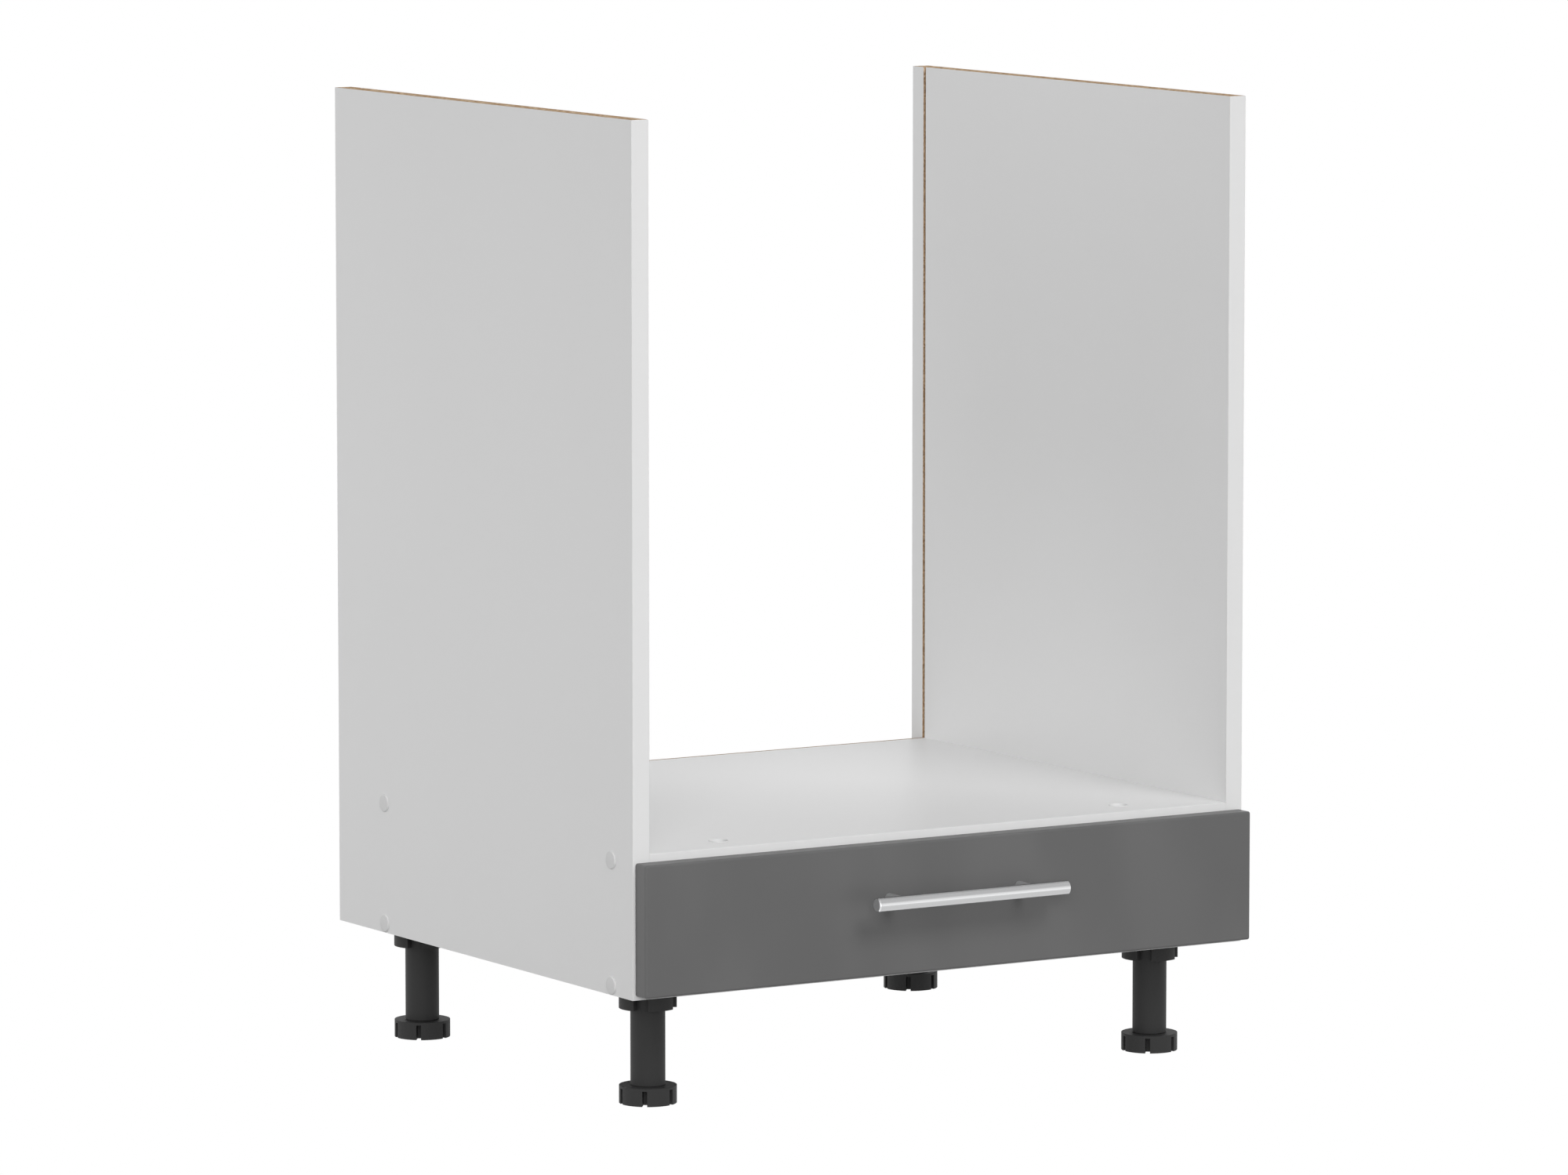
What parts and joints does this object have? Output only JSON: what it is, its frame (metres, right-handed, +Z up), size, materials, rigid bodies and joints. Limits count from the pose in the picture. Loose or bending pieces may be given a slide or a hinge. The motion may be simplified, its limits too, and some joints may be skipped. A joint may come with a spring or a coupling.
{
  "type": "oven housing base unit",
  "caption": "Low open-fronted kitchen base unit that houses a built-in oven above a shallow drawer on roller runners, standing on levelling legs.",
  "frame": {"origin": "on the floor under the middle of the whole footprint, handle included, with the feet screwed fully in", "axes": "+X across the unit to its right as seen from the front, +Y from front to back, +Z up"},
  "size_m": [0.6024, 0.5515, 0.818],
  "materials": {
    "white_board": "matt white melamine on chipboard, cut edges raw",
    "white_edging": "smooth white edging",
    "hardboard": "white lacquered face, brown fibre edges",
    "beech": "fluted beech dowel",
    "zinc_steel": "bright zinc plated",
    "white_plastic": "smooth moulded white",
    "roller_plastic": "natural nylon",
    "white_steel": "white powder coat",
    "wrapped_front": "semi-gloss anthracite film wrapped over fibreboard",
    "handle_metal": "fine brushed bar with bright bevels",
    "black_plastic": "matt moulded black"
  },
  "bodies": {
    "carcase": {"back_board": "hardboard", "back_board_screws": "zinc_steel", "bottom_edge_band": "white_edging", "bottom_panel": "white_board", "cabinet_roller_axles": "zinc_steel", "cabinet_runner_screws": "zinc_steel", "carcase_dowels": "beech", "carcase_screws": "zinc_steel", "front_left_leg_socket": "black_plastic", "front_left_leg_tube": "black_plastic", "front_right_leg_socket": "black_plastic", "front_right_leg_tube": "black_plastic", "left_cabinet_runner": "white_steel", "left_cover_caps": "white_plastic", "left_side_edge_band": "white_edging", "left_side_panel": "white_board", "leg_screws": "zinc_steel", "oven_shelf": "white_board", "rear_left_leg_socket": "black_plastic", "rear_left_leg_tube": "black_plastic", "rear_right_leg_socket": "black_plastic", "rear_right_leg_tube": "black_plastic", "right_cabinet_runner": "white_steel", "right_cover_caps": "white_plastic", "right_side_edge_band": "white_edging", "right_side_panel": "white_board", "shelf_edge_band": "white_edging", "shelf_plugs": "white_plastic"},
    "drawer": {"drawer_front": "wrapped_front", "left_drawer_side": "white_board", "right_drawer_side": "white_board", "drawer_back": "white_board", "drawer_bottom": "hardboard", "drawer_cams": "zinc_steel", "drawer_cam_bolts": "zinc_steel", "drawer_dowels": "beech", "drawer_back_screws": "zinc_steel", "drawer_bottom_screws": "zinc_steel", "left_drawer_runner": "white_steel", "right_drawer_runner": "white_steel", "drawer_runner_screws": "zinc_steel", "drawer_roller_axles": "zinc_steel", "handle_bar": "handle_metal", "left_handle_post": "handle_metal", "right_handle_post": "handle_metal", "handle_screws": "zinc_steel"},
    "left_cabinet_roller": {"left_cabinet_roller": "roller_plastic"},
    "right_cabinet_roller": {"right_cabinet_roller": "roller_plastic"},
    "left_drawer_roller": {"left_drawer_roller": "roller_plastic"},
    "right_drawer_roller": {"right_drawer_roller": "roller_plastic"},
    "front_left_foot": {"front_left_leg_foot": "black_plastic"},
    "front_right_foot": {"front_right_leg_foot": "black_plastic"},
    "rear_left_foot": {"rear_left_leg_foot": "black_plastic"},
    "rear_right_foot": {"rear_right_leg_foot": "black_plastic"}
  },
  "joints": [
    {"name": "drawer_slide", "type": "slide", "parent": "carcase", "child": "drawer", "axis": [0, -1, 0], "range_m": [0, 0.34]},
    {"name": "left_cabinet_roller_spin", "type": "hinge", "parent": "carcase", "child": "left_cabinet_roller", "pos_m": [-0.27825, -0.20725, 0.1359], "axis": [1, 0, 0], "range_deg": [0, 1960]},
    {"name": "right_cabinet_roller_spin", "type": "hinge", "parent": "carcase", "child": "right_cabinet_roller", "pos_m": [0.27825, -0.20725, 0.1359], "axis": [1, 0, 0], "range_deg": [0, 1960]},
    {"name": "left_drawer_roller_spin", "type": "hinge", "parent": "drawer", "child": "left_drawer_roller", "pos_m": [-0.27725, 0.21075, 0.1355], "axis": [1, 0, 0], "range_deg": [0, 1960]},
    {"name": "right_drawer_roller_spin", "type": "hinge", "parent": "drawer", "child": "right_drawer_roller", "pos_m": [0.27725, 0.21075, 0.1355], "axis": [1, 0, 0], "range_deg": [0, 1960]},
    {"name": "front_left_foot_height", "type": "slide", "parent": "carcase", "child": "front_left_foot", "axis": [0, 0, -1], "range_m": [0, 0.02]},
    {"name": "front_right_foot_height", "type": "slide", "parent": "carcase", "child": "front_right_foot", "axis": [0, 0, -1], "range_m": [0, 0.02]},
    {"name": "rear_left_foot_height", "type": "slide", "parent": "carcase", "child": "rear_left_foot", "axis": [0, 0, -1], "range_m": [0, 0.02]},
    {"name": "rear_right_foot_height", "type": "slide", "parent": "carcase", "child": "rear_right_foot", "axis": [0, 0, -1], "range_m": [0, 0.02]}
  ],
  "couplings": [
    {"joint": "left_cabinet_roller_spin", "follows": "drawer_slide", "rad_per_m": 100},
    {"joint": "right_cabinet_roller_spin", "follows": "drawer_slide", "rad_per_m": 100},
    {"joint": "left_drawer_roller_spin", "follows": "drawer_slide", "rad_per_m": 100},
    {"joint": "right_drawer_roller_spin", "follows": "drawer_slide", "rad_per_m": 100}
  ]
}
